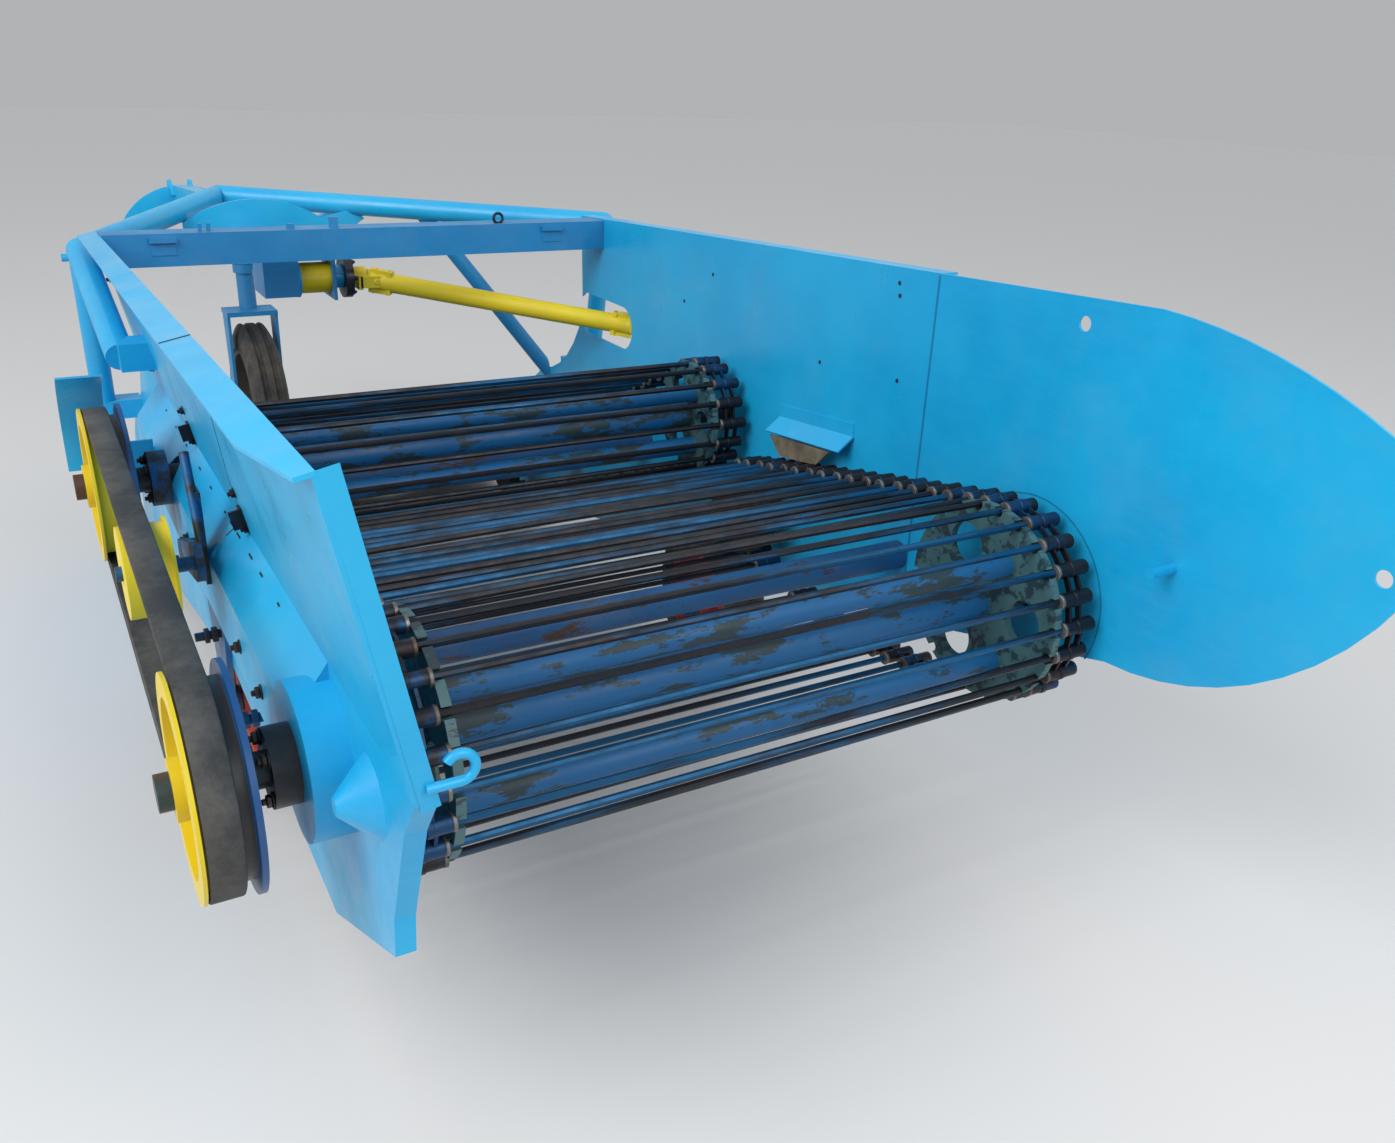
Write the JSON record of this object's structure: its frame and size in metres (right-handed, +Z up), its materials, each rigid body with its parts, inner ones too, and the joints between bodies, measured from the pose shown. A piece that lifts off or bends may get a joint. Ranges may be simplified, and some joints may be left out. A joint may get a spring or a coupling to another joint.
{
  "type": "potato harvester",
  "caption": "Single-bed potato digger: share, rod webs between blue side sheets, side belt drive, carrying wheels and an offset hitch with a castering gauge wheel.",
  "frame": {"origin": "middle of the overall box, on the ground under the wheels", "axes": "+X towards the hitch and the direction of travel, +Y to the machine's left, +Z up"},
  "size_m": [4.2202, 1.638, 1.181],
  "materials": {
    "blue_paint": "bright blue paint, chipped and sun-worn",
    "deep_blue_paint": "deep blue paint, worn on the edges",
    "yellow_paint": "yellow paint, dusty and chipped",
    "red_paint": "red paint, dull",
    "rod_steel": "dark worn steel with soil film",
    "bearing_iron": "grey cast housings with grease",
    "belt_rubber": "dusty black rubber",
    "tyre_rubber": "dusty black tyre rubber",
    "flap_rubber": "sand-coloured reinforced rubber"
  },
  "bodies": {
    "machine": {"left_sheet": "blue_paint", "right_sheet": "blue_paint", "right_lobe": "blue_paint", "left_rail": "blue_paint", "right_rail": "blue_paint", "cross_beam": "deep_blue_paint", "bed_tubes": "deep_blue_paint", "rear_web": "rod_steel", "digging_web": "rod_steel", "rear_drum": "deep_blue_paint", "front_drum": "deep_blue_paint", "tail_roller": "rod_steel", "nose_roller": "rod_steel", "share": "rod_steel", "left_tube": "blue_paint", "right_tube": "blue_paint", "left_leg": "blue_paint", "right_leg": "blue_paint", "hood_plate": "blue_paint", "hitch_bow": "blue_paint", "lower_stays": "blue_paint", "spine": "blue_paint", "gearbox": "blue_paint", "clutch": "yellow_paint", "drive_shaft": "yellow_paint", "chain_case": "blue_paint", "brace": "blue_paint", "front_pulley": "yellow_paint", "rear_pulley": "yellow_paint", "drive_belt": "belt_rubber", "tension_roller": "yellow_paint", "tension_arm": "deep_blue_paint", "belt_guard": "blue_paint", "bearings": "bearing_iron", "flap_angle": "blue_paint", "flap": "flap_rubber", "rear_hook": "blue_paint", "axle": "deep_blue_paint", "post_sleeve": "blue_paint"},
    "wheel_left": {"left_rim": "red_paint", "left_tyre": "tyre_rubber"},
    "wheel_right": {"right_rim": "red_paint", "right_tyre": "tyre_rubber"},
    "gauge_caster": {"gauge_fork": "deep_blue_paint"},
    "gauge_wheel": {"gauge_rim": "red_paint", "gauge_tyre": "tyre_rubber"}
  },
  "joints": [
    {"name": "left_wheel_turn", "type": "hinge", "parent": "machine", "child": "wheel_left", "pos_m": [-0.45994, -0.034, 0.215], "axis": [0, 1, 0], "continuous": true},
    {"name": "right_wheel_turn", "type": "hinge", "parent": "machine", "child": "wheel_right", "pos_m": [-0.45994, -0.034, 0.215], "axis": [0, 1, 0], "continuous": true},
    {"name": "caster_turn", "type": "hinge", "parent": "machine", "child": "gauge_caster", "pos_m": [1.65006, 0.116, 0.9], "axis": [0, 0, 1], "continuous": true},
    {"name": "gauge_wheel_turn", "type": "hinge", "parent": "gauge_caster", "child": "gauge_wheel", "pos_m": [1.61006, 0.116, 0.29], "axis": [0, 1, 0], "continuous": true}
  ]
}
